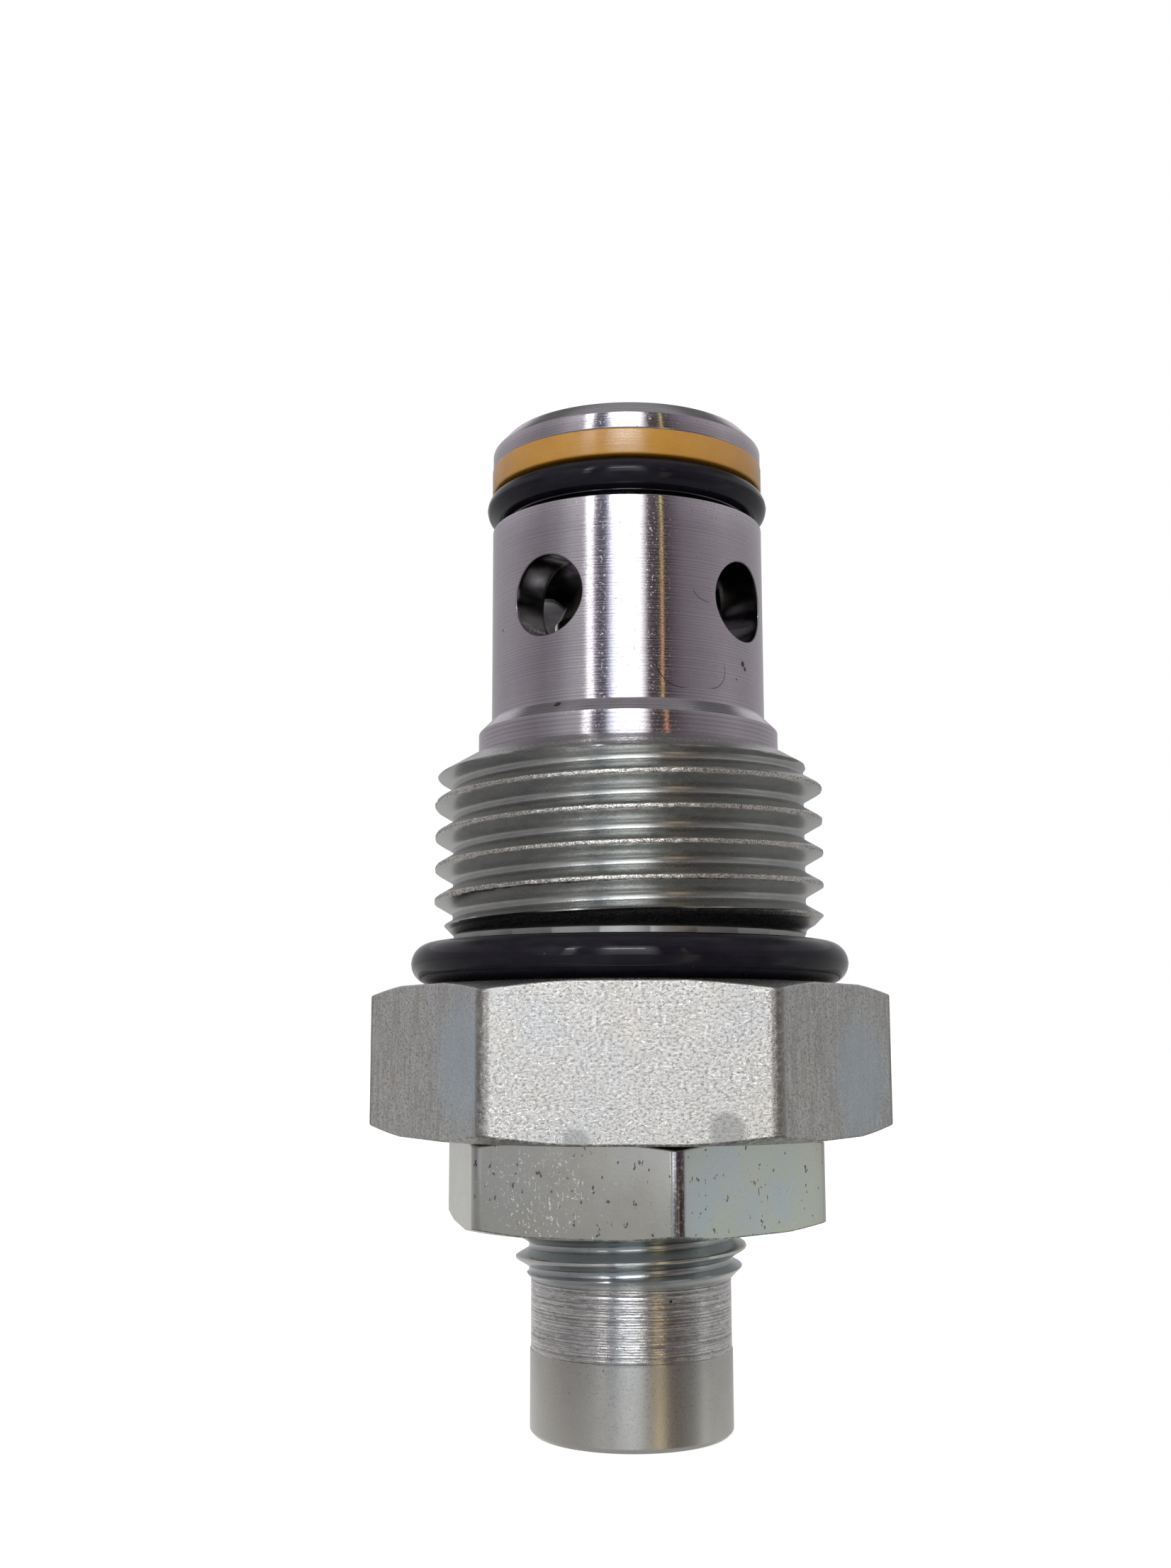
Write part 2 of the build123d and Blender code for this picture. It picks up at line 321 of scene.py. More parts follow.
def thread_outline(pitch, crest_r, root_r, flank_steps, root_round):
    """One pitch of a 60 degree thread as (height from the crest, radius, wear)."""
    crest_half = pitch / 16
    flank = (crest_r - root_r) * math.tan(math.radians(30))
    # The crest is fully worn, and the wear fades out down the flank
    side = [(0.0, crest_r, 1.0), (crest_half * 0.7, crest_r, 1.0)]
    for share in np.linspace(0, 1, flank_steps):
        wear_and_edge_shade = 0.8 if share == 0 else max(0.0, 0.5 - share * 6)
        radius = crest_r - 0.02 * (share == 0) - (crest_r - root_r) * share
        side.append((crest_half + flank * share, max(radius, root_r), wear_and_edge_shade))
    root_half = pitch / 2 - crest_half - flank
    start = side[-1][0]
    lift = root_round * root_half
    side = [
        (z, max(r, root_r + lift * (1 - min(1, (pitch / 2 - z) / (2 * root_half)))), w)
        for z, r, w in side
    ]
    for share in (0.35, 0.7):
        side.append((start + root_half * share, root_r + 0.03 * (1 - share) ** 2, 0.0))
    other = [(-z, r, w) for z, r, w in side[1:]][::-1]
    return other + side + [(pitch / 2, root_r, 0.0)]


def thread_columns(angles, low_z, high_z, pitch, crest_z, outline, limit, burr):
    """Columns of a right-hand thread between two flat rings. limit(z) is the turned envelope."""
    turns = math.ceil((high_z - low_z) / pitch) + 3
    first = crest_z - pitch * (math.ceil((crest_z - low_z) / pitch) + 1)
    offset, radius, wear_and_edge_shade = (np.array(v) for v in zip(*outline))
    turn_of = np.repeat(np.arange(turns), len(outline))
    offset, radius, wear_and_edge_shade = (np.tile(v, turns) for v in (offset, radius, wear_and_edge_shade))
    swept = (angles - angles[0])[:, None]
    z = first + turn_of * pitch + offset + pitch * (swept + angles[0] - FRONT) / TURN
    along = swept + turn_of * TURN
    r = radius + np.where(wear_and_edge_shade > 0, burr(along) * wear_and_edge_shade, 0)
    z = z + np.where(wear_and_edge_shade > 0, burr(along + 50) * wear_and_edge_shade * 0.6, 0)
    flat = np.clip(z, low_z, high_z)
    r = np.where(z == flat, np.minimum(r, limit(flat)), limit(flat))
    wear_and_edge_shade = np.broadcast_to(wear_and_edge_shade, r.shape) * (z == flat)
    return np.stack([r, flat], axis=-1), wear_and_edge_shade, len(outline)


# ---------------- valve body


def body_limit(z):
    lead_z = BODY_END_Z - (THREAD_R - BODY_END_R) * LEAD_SLOPE
    lead = THREAD_R + 0.04 - np.maximum(z - lead_z, 0) / LEAD_SLOPE
    lead = np.where(z >= BODY_END_Z - 1e-6, BODY_END_R, np.maximum(lead, BODY_END_R))
    above = z - RELIEF_TOP_Z
    fillet = (above + RELIEF_FILLET) ** 2 / (4 * RELIEF_FILLET)
    relief = RELIEF_R + np.where(above < RELIEF_FILLET, fillet, above)
    return np.minimum(lead, relief)


def make_body(hex_look, thread_look):
    corner = FRONT + TURN / 12
    angles = with_corners(even_angles(480), corner, (0.3, 0.6, 0.9, 1.186))
    rng = np.random.default_rng(14)
    coarse, fine = noise_along(rng, 200, 0.05), noise_along(rng, 200, 0.017)
    skin = Skin()
    outline = thread_outline(THREAD_PITCH, THREAD_R, THREAD_ROOT_R, 9, 0.5)
    columns, wear_and_edge_shade, lift = thread_columns(
        angles,
        RELIEF_TOP_Z - RELIEF_FILLET,
        BODY_END_Z,
        THREAD_PITCH,
        THREAD_CREST_Z,
        outline,
        body_limit,
        lambda at: 0.02 * coarse(at) + 0.03 * fine(at) - 0.02,
    )
    skin.grid(spun(angles, columns), wear_and_edge_shade, lift, look=1)
    relief, relief_wear = rounded(
        [
            (RELIEF_R, RELIEF_TOP_Z - RELIEF_FILLET),
            (RELIEF_R, SEAL_SEAT_Z, 0.25),
            (SEAL_SEAT_R, SEAL_SEAT_Z),
            (SEAL_SEAT_R, 0.0),
            (FACE_START_R, 0.0),
        ]
    )
    skin.grid(spun(angles, relief), relief_wear, look=1)
    walls = hex_radius(angles, HEX_APOTHEM, corner, HEX_CORNER_R)
    bore_start_z = HEX_LOW_Z + BODY_BORE_CHAMFER
    bore = [(STEM_BORE_R + BODY_BORE_CHAMFER, HEX_LOW_Z), (STEM_BORE_R, bore_start_z)]
    sides = chamfered_sides(walls, HEX_LOW_Z, 0.0, HEX_CHAMFER_R, HEX_EDGE_R)
    head = [[(FACE_START_R, 0.0)] + side + bore for side in sides]
    edge_wear_and_shade = [0, 0, 0.5, 1, 1, 0.8, 1, 0.8, 0]
    skin.grid(spun(angles, head), edge_wear_and_shade + edge_wear_and_shade[:0:-1] + [0, 0], look=0)
    inside, inside_wear = rounded(
        [
            (STEM_BORE_R, bore_start_z),
            (STEM_BORE_R, SEAL_BORE_Z),
            (SEAL_BORE_R, SEAL_BORE_Z),
            (SEAL_BORE_R, SOCKET_Z),
            (SOCKET_R, SOCKET_Z),
            (SOCKET_R, BODY_END_Z),
            (BODY_END_R, BODY_END_Z),
        ]
    )
    skin.grid(spun(angles, inside), inside_wear, look=1)
    looks = [hex_look, thread_look]
    skin.build("valve_body_looks", looks, "valve", "valve_body")


# ---------------- cage

HOLE_COUNT = 4
PATCH_COLUMNS = 64  # columns of the sleeve that one hole's patch spans
PATCH_ROWS = 24
PATCH_RINGS = 20
PATCH_LOW_Z = 17.4
PATCH_HIGH_Z = 24.8
BORE_PATCH_HIGH_Z = SEAT_Z - (CAGE_BORE_R - SEAT_R)
HOLE_EDGE_R = 0.06
HOLE_BORE_EDGE_R = 0.03
UPWARD = np.array([0, 0, 1.0])


def patch_border(low_z, high_z):
    """Points around a patch as (angle from the hole, height)."""
    half = TURN / HOLE_COUNT / 2
    across = np.linspace(-half, half, PATCH_COLUMNS + 1)
    up = np.linspace(low_z, high_z, PATCH_ROWS + 1)
    sides = [
        [(a, high_z) for a in across[:-1]],
        [(half, z) for z in up[:0:-1]],
        [(a, low_z) for a in across[:0:-1]],
        [(-half, z) for z in up[:-1]],
    ]
    return np.array([p for side in sides for p in side])


def hole_mesh(skin, azimuth):
    """The sleeve's wall around one cross hole: outside patch, edge, hole wall, edge, inside patch."""
    centre = FRONT + azimuth
    outward = np.array([math.cos(centre), math.sin(centre), 0.0])
    sideways = np.array([-math.sin(centre), math.cos(centre), 0.0])
    spread = np.concatenate([[0, 0.01, 0.03], np.linspace(0.06, 1, PATCH_RINGS)])

    def ring(along, p, q):
        """Points at a distance along the drill's axis, p sideways and q above it."""
        return outward * along[:, None] + sideways * p[:, None] + UPWARD * (HOLE_Z + q)[:, None]

    def on_cylinder(bearing, radius, cylinder_r, depth):
        """The ring where a drill of this radius meets a cylinder, moved inwards by depth."""
        p, q = radius * np.cos(bearing), radius * np.sin(bearing)
        return ring(np.sqrt(cylinder_r**2 - p**2) - depth, p, q)

    def patch(cylinder_r, low_z, high_z, edge, look):
        border = patch_border(low_z, high_z)
        bearing = np.arctan2(border[:, 1] - HOLE_Z, border[:, 0] * cylinder_r)
        radius = HOLE_R + edge
        rim_angle = np.arcsin(radius * np.cos(bearing) / cylinder_r)
        rim = np.stack([rim_angle, HOLE_Z + radius * np.sin(bearing)], axis=-1)
        rows = rim[:, None] + (border - rim)[:, None] * spread[None, :, None]
        angle = centre + rows[..., 0]
        points = np.stack(
            [cylinder_r * np.cos(angle), cylinder_r * np.sin(angle), rows[..., 1]], axis=-1
        )
        skin.grid(points, look=look)
        return bearing

    edge, bore_edge = HOLE_EDGE_R, HOLE_BORE_EDGE_R
    bearing = patch(CAGE_R, PATCH_LOW_Z, PATCH_HIGH_Z, edge, 0)
    bore_bearing = patch(CAGE_BORE_R, PATCH_LOW_Z, BORE_PATCH_HIGH_Z, bore_edge, 1)
    twist = (bore_bearing - bearing + math.pi) % TURN - math.pi
    rows, wear_and_edge_shade = [], []
    for a in np.linspace(0, math.pi / 2, 5):
        size = HOLE_R + edge * (1 - math.sin(a))
        rows.append(on_cylinder(bearing, size, CAGE_R, edge * (1 - math.cos(a))))
        wear_and_edge_shade.append(1.0)
    outer, inner = rows[-1], on_cylinder(bore_bearing, HOLE_R, CAGE_BORE_R, -bore_edge)
    depth_out = outer @ outward
    depth_in = inner @ outward
    for share in np.linspace(0, 1, 9)[1:-1]:
        at = bearing + twist * share
        along = depth_out + (depth_in - depth_out) * share
        rows.append(ring(along, HOLE_R * np.cos(at), HOLE_R * np.sin(at)))
        wear_and_edge_shade.append(0.0)
    for a in np.linspace(math.pi / 2, 0, 3):
        size = HOLE_R + bore_edge * (1 - math.sin(a))
        depth = -bore_edge * (1 - math.cos(a))
        rows.append(on_cylinder(bore_bearing, size, CAGE_BORE_R, depth))
        wear_and_edge_shade.append(1.0)
    skin.grid(np.stack(rows, axis=1), np.array(wear_and_edge_shade)[None, :], look=1)


def make_cage(turned_look, hole_painted_shade_look):
    start = FRONT + HOLE_AZIMUTH - TURN / HOLE_COUNT / 2
    angles = even_angles(PATCH_COLUMNS * HOLE_COUNT, start)
    skin = Skin()
    shoulder_z = FLANGE_TOP_Z + FLANGE_R - CAGE_R
    lower, lower_wear = rounded(
        [
            (CAGE_BORE_R, PATCH_LOW_Z),
            (CAGE_BORE_R, SOCKET_Z),
            (SOCKET_R, SOCKET_Z),
            (SOCKET_R, BODY_END_Z),
            (FLANGE_R, BODY_END_Z),
            (FLANGE_R, FLANGE_TOP_Z, 0.12),
            (CAGE_R, shoulder_z, 0.12),
            (CAGE_R, PATCH_LOW_Z),
        ],
        0.04,
        5,
    )
    upper, upper_wear = rounded(
        [
            (CAGE_R, PATCH_HIGH_Z),
            (CAGE_R, GROOVE_LOW_Z, 0.08),
            (GROOVE_R, GROOVE_LOW_Z, 0.15),
            (GROOVE_R, GROOVE_HIGH_Z, 0.15),
            (CAGE_R, GROOVE_HIGH_Z, 0.08),
            (CAGE_R, NOSE_Z - NOSE_CHAMFER_Z, 0.25),
            (CAGE_R - NOSE_CHAMFER_R, NOSE_Z, 0.12),
            (SEAT_R + NOSE_PORT_CHAMFER, NOSE_Z, 0.06),
            (SEAT_R, NOSE_Z - NOSE_PORT_CHAMFER, 0.06),
            (SEAT_R, SEAT_Z, 0.02),
            (CAGE_BORE_R, BORE_PATCH_HIGH_Z),
        ],
        0.05,
        4,
    )
    skin.grid(spun(angles, lower[:2]), 0.0, look=1)
    skin.grid(spun(angles, lower[1:]), np.array(lower_wear[1:]) * 0.4)
    skin.grid(spun(angles, upper[:-3]), np.array(upper_wear[:-3]) * 0.4)
    skin.grid(spun(angles, upper[-4:]), 0.0, look=1)
    for index in range(HOLE_COUNT):
        hole_mesh(skin, HOLE_AZIMUTH + index * TURN / HOLE_COUNT)
    skin.build("cage_looks", [turned_look, hole_painted_shade_look], "valve", "cage")


# ---------------- adjusting stem


def stem_limit(z):
    start = STEM_BAND_R + np.maximum(z - STEM_THREAD_LOW_Z, 0)
    end = STEM_UNDERCUT_R + np.maximum(STEM_THREAD_HIGH_Z - z, 0)
    return np.minimum(np.minimum(start, end), STEM_THREAD_R + 0.03)


def band_outline(rng):
    """The turned band below the thread: real tool grooves of uneven depth."""
    heights = np.arange(STEM_THREAD_LOW_Z - 0.03, STEM_BAND_LOW_Z, -0.045)
    spacing = np.arange(len(heights))
    deep = (rng.uniform(0, 1, len(heights)) > 0.86) * rng.uniform(0.01, 0.035, len(heights))
    depth = 0.006 * (1 + np.sin(spacing * 2.1)) + deep
    return [(STEM_BAND_R - d, z) for d, z in zip(depth, heights)]


def make_stem(look):
    angles = even_angles(360)
    rng = np.random.default_rng(20)
    ripple = noise_along(rng, 200, 0.06)
    skin = Skin()
    outline = thread_outline(STEM_PITCH, STEM_THREAD_R, STEM_ROOT_R, 7, 0.4)
    columns, wear_and_edge_shade, lift = thread_columns(
        angles,
        STEM_THREAD_LOW_Z,
        STEM_THREAD_HIGH_Z,
        STEM_PITCH,
        STEM_CREST_Z,
        outline,
        stem_limit,
        lambda at: 0.012 * ripple(at),
    )
    skin.grid(spun(angles, columns), wear_and_edge_shade * 0.6, lift)
    band = band_outline(rng)
    mouth_r = KEY_APOTHEM / math.cos(TURN / 12)
    plain, plain_wear = rounded(
        [
            (STEM_PLAIN_R, STEM_BAND_LOW_Z),
            (STEM_PLAIN_R, STEM_END_Z + STEM_EDGE_BREAK, 0.15),
            (STEM_PLAIN_R - STEM_EDGE_BREAK, STEM_END_Z, 0.12),
            (mouth_r, STEM_END_Z),
        ]
    )
    key = hex_radius(angles, KEY_APOTHEM, FRONT + TURN / 12, 0.02)
    floor_z = STEM_END_Z + KEY_DEPTH
    lower = []
    for wall in key:
        socket = [(wall, STEM_END_Z + mouth_r - wall), (wall, floor_z), (0.0, floor_z)]
        lower.append([(STEM_BAND_R, STEM_THREAD_LOW_Z)] + band + plain + socket)
    lower_wear = [0.0] * (1 + len(band)) + [w * 0.5 for w in plain_wear] + [0.0] * 3
    skin.grid(spun(angles, lower), lower_wear)
    upper, upper_wear = rounded(
        [
            (STEM_UNDERCUT_R, STEM_THREAD_HIGH_Z),
            (STEM_UNDERCUT_R, LAND_LOW_Z),
            (LAND_R, LAND_LOW_Z),
            (LAND_R, STEM_GROOVE_LOW_Z),
            (STEM_GROOVE_R, STEM_GROOVE_LOW_Z),
            (STEM_GROOVE_R, STEM_GROOVE_HIGH_Z),
            (LAND_R, STEM_GROOVE_HIGH_Z),
            (LAND_R, LAND_HIGH_Z),
            (NEEDLE_R, NEEDLE_START_Z),
            (NEEDLE_R, NEEDLE_CONE_Z),
            (NEEDLE_TIP_R, STEM_TIP_Z),
            (0.0, STEM_TIP_Z),
        ]
    )
    skin.grid(spun(angles, upper), upper_wear)
    skin.build("adjusting_stem_looks", [look], "stem", "adjusting_stem")


# ---------------- lock nut


def make_nut(look):
    corner = FRONT + NUT_AZIMUTH
    angles = with_corners(even_angles(240), corner, (0.4, 0.8, 1.2, 1.6, 1.84))
    walls = hex_radius(angles, NUT_APOTHEM, corner, NUT_CORNER_R)
    low_z, high_z = NUT_LOW[2], NUT_HIGH[2]
    bore = [
        (STEM_BORE_R + NUT_BORE_CHAMFER, low_z),
        (STEM_BORE_R, low_z + NUT_BORE_CHAMFER),
        (STEM_BORE_R, high_z - NUT_BORE_CHAMFER),
        (STEM_BORE_R + NUT_BORE_CHAMFER, high_z),
    ]
    sides = chamfered_sides(walls, low_z, high_z, NUT_CHAMFER_R, NUT_EDGE_R)
    columns = [[bore[-1]] + side + bore for side in sides]
    edge_wear_and_shade = [0, 0.5, 1, 1, 0.8, 1, 0.8, 0]
    skin = Skin()
    skin.grid(spun(angles, columns), [0] + edge_wear_and_shade + edge_wear_and_shade[::-1] + [0] * 4)
    skin.build("lock_nut_looks", [look], "lock_nut", "lock_nut")


# ---------------- seals

FLASH_HEIGHT = 0.012
FLASH_HALF_WIDTH = 0.022  # as the sine of half the angle around the tube


def make_o_ring(look, node):
    """A moulded ring with the thin flash line that its mould leaves on the equator."""
    tube, centre_r, height = ring_size(node)
    section = np.arange(64) * TURN / 64
    flash = FLASH_HEIGHT * np.exp(-((np.sin(section / 2) / FLASH_HALF_WIDTH) ** 2))
    radius = tube - FLASH_HEIGHT + flash
    outline = [
        (centre_r + r * math.cos(a), height + r * math.sin(a))
        for a, r in zip(section, radius)
    ]
    outline.append(outline[0])
    skin = Skin()
    skin.grid(spun(even_angles(256), outline))
    skin.build(node + "_looks", [look], "valve", node, 60)


def make_backup_ring(look):
    low_z, high_z = BACKUP_LOW[2], BACKUP_HIGH[2]
    outer_r, inner_r = BACKUP_HIGH[0], GROOVE_R + 0.02
    middle = (low_z + high_z) / 2
    outline, wear_and_edge_shade = rounded(
        [
            (inner_r, middle),
            (inner_r, low_z),
            (outer_r, low_z, 0.14),
            (outer_r, high_z, 0.1),
            (inner_r, high_z),
            (inner_r, middle),
        ],
        0.05,
        5,
    )
    skin = Skin()
    skin.grid(spun(even_angles(256), outline), wear_and_edge_shade)
    node = "nose_backup_ring"
    skin.build(node + "_looks", [look], "valve", node)


# ---------------- materials


# Places of handling marks and stains, millimetres

# On the cage, nicks: centre, radius, width of the soft rim
CAGE_NICKS = [
    ((-3.75, -7.1, 14.85), 0.16, 0.08),
    ((6.4, -4.6, 17.55), 0.14, 0.07),
    ((6.5, -4.4, 17.3), 0.10, 0.05),
    ((-7.0, -3.6, 19.8), 0.07, 0.035),
    ((6.0, -5.1, 16.6), 0.06, 0.03),
]
# Curved scratches: centre and radius of a ball whose skin they follow, centre and reach of the
# part that shows
CAGE_SCRATCHES = [
    ((3.0, -7.4, 17.2), 1.5, (2.1, -7.5, 15.9), 0.9),
    ((4.6, -6.6, 16.9), 1.1, (5.3, -5.9, 16.2), 0.8),
    ((4.3, -6.4, 21.6), 1.0, (3.9, -6.7, 20.7), 0.5),
]
# On the hexagon: centre, radius, soft rim
HEX_COOL_PATCHES = [((-8.6, -11.4, -4.0), 2.0, 2.4), ((12.6, -4.0, -5.0), 2.0, 2.4)]
HEX_STAINS = [((4.7, -HEX_APOTHEM, -7.3), 0.75, 0.25), ((-2.6, -HEX_APOTHEM, -7.9), 0.55, 0.25)]
# On the lock nut, the same
NUT_COOL_SIDE = ((6.4, -7.0, -10.4), 4.6, 1.8)
NUT_SCUFFED = ((-4.6, -8.6, -10.4), 2.0, 1.8)
NUT_DARK_CORNER = (2.40, -10.57)  # seen from above


class Nodes:
    """A node tree that is built by function calls."""

    def __init__(self, tree):
        self.tree = tree
        tree.nodes.clear()

    def node(self, kind, settings=None, inputs=None):
        made = self.tree.nodes.new("ShaderNode" + kind)
        for key, value in (settings or {}).items():
            setattr(made, key, value)
        for key, value in (inputs or {}).items():
            self.set(made, key, value)
        return made

    def set(self, made, key, value):
        if isinstance(value, bpy.types.NodeSocket):
            self.tree.links.new(value, made.inputs[key])
        else:
            made.inputs[key].default_value = value

    def vector(self, operation, a, b=None, scale=None):
        made = self.node("VectorMath", {"operation": operation}, {0: a})
        if b is not None:
            self.set(made, 1, b)
        if scale is not None:
            self.set(made, "Scale", scale)
        return made.outputs["Value" if operation == "LENGTH" else "Vector"]

    def math(self, operation, a, b=0.0, c=0.0):
        made = self.node("Math", {"operation": operation}, {0: a, 1: b, 2: c})
        return made.outputs[0]

    def times(self, a, b):
        return self.math("MULTIPLY", a, b)

    def blend(self, share, a, b):
        """A colour between a and b."""
        a, b = (v if isinstance(v, bpy.types.NodeSocket) else (*v, 1.0) for v in (a, b))
        return self.node("Mix", {"data_type": "RGBA"}, {0: share, 6: a, 7: b}).outputs[2]


class Graph(Nodes):
    """A procedural material. Lengths inside are in millimetres."""

    def __init__(self, name):
        self.material = bpy.data.materials.new(name)
        self.material.use_nodes = True
        super().__init__(self.material.node_tree)
        self.shader = self.node("BsdfPrincipled")
        self.node("OutputMaterial", {}, {"Surface": self.shader.outputs[0]})
        place = self.node("TexCoord").outputs["Object"]
        self.place = self.vector("SCALE", place, scale=1 / MM)
        self.x, self.y, self.z = self.node("SeparateXYZ", {}, {0: self.place}).outputs

    def shade(self, **values):
        for key, value in values.items():
            self.set(self.shader, key.replace("_", " "), value)
        return self.material

    def noise(self, scale, detail=2.0, roughness=0.5, stretch=None):
        at = self.vector("MULTIPLY", self.place, stretch) if stretch else self.place
        inputs = {"Vector": at, "Scale": scale, "Detail": detail, "Roughness": roughness}
        return self.node("TexNoise", {}, inputs).outputs["Fac"]

    def lines(self, per_mm, detail=2.0, roughness=0.6, waver=0.0):
        """Lines around the axis: noise that changes with height only, and wavers a little."""
        height = self.z
        if waver:
            height = self.math("MULTIPLY_ADD", self.noise(0.4, 1.0), waver, height)
        inputs = {"W": height, "Scale": per_mm, "Detail": detail, "Roughness": roughness}
        return self.node("TexNoise", {"noise_dimensions": "1D"}, inputs).outputs["Fac"]

    def span(self, value, low, high, out_low=0.0, out_high=1.0):
        """The value, stretched from one range to another and held at its ends."""
        keys = ("Value", "From Min", "From Max", "To Min", "To Max")
        inputs = dict(zip(keys, (value, low, high, out_low, out_high)))
        return self.node("MapRange", {"clamp": True}, inputs).outputs["Result"]

    def clouds(self, scale, a, b):
        """Slow drifts from one colour to another."""
        return self.blend(self.span(self.noise(scale, 3.0, 0.6), 0.3, 0.7), a, b)

    def wear_and_edge_shade(self):
        """How worn the mesh is here, from 0 to 1; some materials also paint shade on rounded edges
        with it.
        """
        made = self.node("Attribute", {"attribute_name": "wear_and_edge_shade"})
        return made.outputs["Fac"]

    def from_upright(self, x=0.0, y=0.0):
        """Distance from an upright line, the axis if no other is named."""
        flat = self.vector("MULTIPLY", self.place, (1.0, 1.0, 0.0))
        return self.vector("LENGTH", self.vector("SUBTRACT", flat, (x, y, 0.0)))

    def near(self, centre, radius, soft):
        """1 inside a ball around a point, fading to 0 over a soft rim."""
        offset = self.vector("SUBTRACT", self.place, centre)
        return self.span(self.vector("LENGTH", offset), radius, radius + soft, 1.0, 0.0)

    def near_any(self, spots):
        """1 inside any of several such balls."""
        found = self.near(*spots[0])
        for spot in spots[1:]:
            found = self.math("MAXIMUM", found, self.near(*spot))
        return found

    def bump(self, height, microns, below=None):
        inputs = {"Height": height, "Strength": 1.0, "Distance": microns * 1e-6}
        if below is not None:
            inputs["Normal"] = below
        return self.node("Bump", {}, inputs).outputs["Normal"]

    def feed(self, pitch, depth_noise):
        """Tool marks around the axis at a steady pitch, from -1 to 1, of uneven depth."""
        wave = self.math("SINE", self.times(self.z, TURN / pitch))
        uneven = self.span(self.lines(2.5, 2.0), 0.3, 0.7, 1.0 - depth_noise * 2, 1.0)
        return self.times(wave, uneven)

    def pick(self, share, a, b):
        """A value between a and b."""
        made = self.node("Mix", {"data_type": "FLOAT"}, {0: share, 2: a, 3: b})
        return made.outputs[0]

    def marks(self):
        """Handling marks on the cage: nicks and curved scratches."""
        found = self.near_any(CAGE_NICKS)
        for centre, radius, aim, reach in CAGE_SCRATCHES:
            offset = self.vector("SUBTRACT", self.place, centre)
            off_line = self.math("SUBTRACT", self.vector("LENGTH", offset), radius)
            line = self.span(self.math("ABSOLUTE", off_line), 0.012, 0.035, 0.8, 0.0)
            line = self.times(line, self.near(aim, reach, reach * 0.6))
            found = self.math("MAXIMUM", found, line)
        return found

    def lower_edge_painted_shade(self, end_z):
        """Painted shade along the lower edge and chamfer of a hexagon, in broken dashes."""
        here = self.span(self.z, end_z + 1.0, end_z + 0.6)
        broken = self.span(self.noise(3.5, 3.0, 0.8), 0.42, 0.56, 0.15, 0.85)
        return self.times(self.times(self.wear_and_edge_shade(), here), broken)

    def around(self):
        """The direction around the axis, along which a turned face is smoothest."""
        made = self.node("Tangent", {"direction_type": "RADIAL", "axis": "Z"})
        return made.outputs[0]


def turned_steel():
    """Turned steel: feed marks and fine lines around the axis, specks, dents and handling marks."""
    g = Graph("cage_steel_turned")
    flange = g.span(g.z, FLANGE_TOP_Z - 0.05, FLANGE_TOP_Z + 0.1, 1.0, 0.0)
    feed = g.feed(0.17, 0.25)
    coarse = g.feed(0.24, 0.3)
    lines = g.pick(flange, feed, coarse)
    fine = g.lines(16.0, 2.0, 0.7)
    speck = g.noise(9.0, 2.0, 0.7)
    tone = g.clouds(0.5, (0.595, 0.555, 0.595), (0.64, 0.61, 0.64))
    lined = g.pick(flange, 0.22, 0.5)
    tone = g.blend(g.times(g.span(lines, 0.2, -0.9), lined), tone, (0.30, 0.28, 0.30))
    tone = g.blend(g.span(fine, 0.55, 0.40, 0.0, 0.28), tone, (0.30, 0.27, 0.30))
    tone = g.blend(g.span(speck, 0.66, 0.72, 0.0, 0.7), tone, (0.16, 0.14, 0.15))
    tone = g.blend(g.span(speck, 0.33, 0.28, 0.0, 0.6), tone, (0.92, 0.92, 0.92))
    tone = g.blend(g.marks(), tone, (0.10, 0.09, 0.09))
    tone = g.blend(g.span(g.wear_and_edge_shade(), 0.3, 1.0, 0.0, 0.4), tone, (0.80, 0.79, 0.80))
    rough = g.math("ADD", g.span(fine, 0.38, 0.66, 0.07, 0.23), g.span(speck, 0.4, 0.7, 0.0, 0.04))
    height = g.math("ADD", fine, g.times(lines, g.pick(flange, 0.45, 1.1)))
    normal = g.bump(height, 1.5)
    normal = g.bump(g.noise(7.0, 3.0, 0.75), 0.4, normal)
    dents = g.span(g.noise(9.0, 2.0, 0.65), 0.64, 0.70)
    normal = g.bump(dents, 2.4, normal)
    g.shade(Base_Color=tone, Metallic=1.0, Roughness=rough, Normal=normal)
    return g.shade(Anisotropic=0.8, Anisotropic_Rotation=0.25, Tangent=g.around())


def drilled_steel_painted_shade():
    """Steel of the drilled holes and bores, its colour darkened as painted shade for their hollow
    insides.
    """
    g = Graph("cage_steel_drilled_painted_shade")
    marks = g.noise(0.9, 2.0, 0.5, stretch=(1.0, 1.0, 2.5))
    # Painted shade: the base is far darker than the turned outside, standing in for the shade inside
    # the holes
    tone = g.blend(g.span(marks, 0.3, 0.75), (0.12, 0.113, 0.123), (0.23, 0.22, 0.23))
    tone = g.blend(g.span(g.wear_and_edge_shade(), 0.5, 1.0, 0.0, 0.4), tone, (0.55, 0.54, 0.55))
    normal = g.bump(marks, 0.4)
    rough = g.span(marks, 0.3, 0.7, 0.18, 0.25)
    return g.shade(Base_Color=tone, Metallic=1.0, Roughness=rough, Normal=normal)


def plated_tint(g, base, strength):
    """Zinc plate: slow drifts to blue and to yellow over the base colour."""
    blue = g.span(g.noise(0.22, 2.0, 0.5), 0.5, 0.7, 0.0, strength)
    gold = g.span(g.noise(0.31, 2.0, 0.5, stretch=(1.0, 1.3, 0.8)), 0.5, 0.72, 0.0, strength)
    tone = g.blend(blue, base, (0.52, 0.62, 0.70))
    return g.blend(gold, tone, (0.74, 0.68, 0.50))


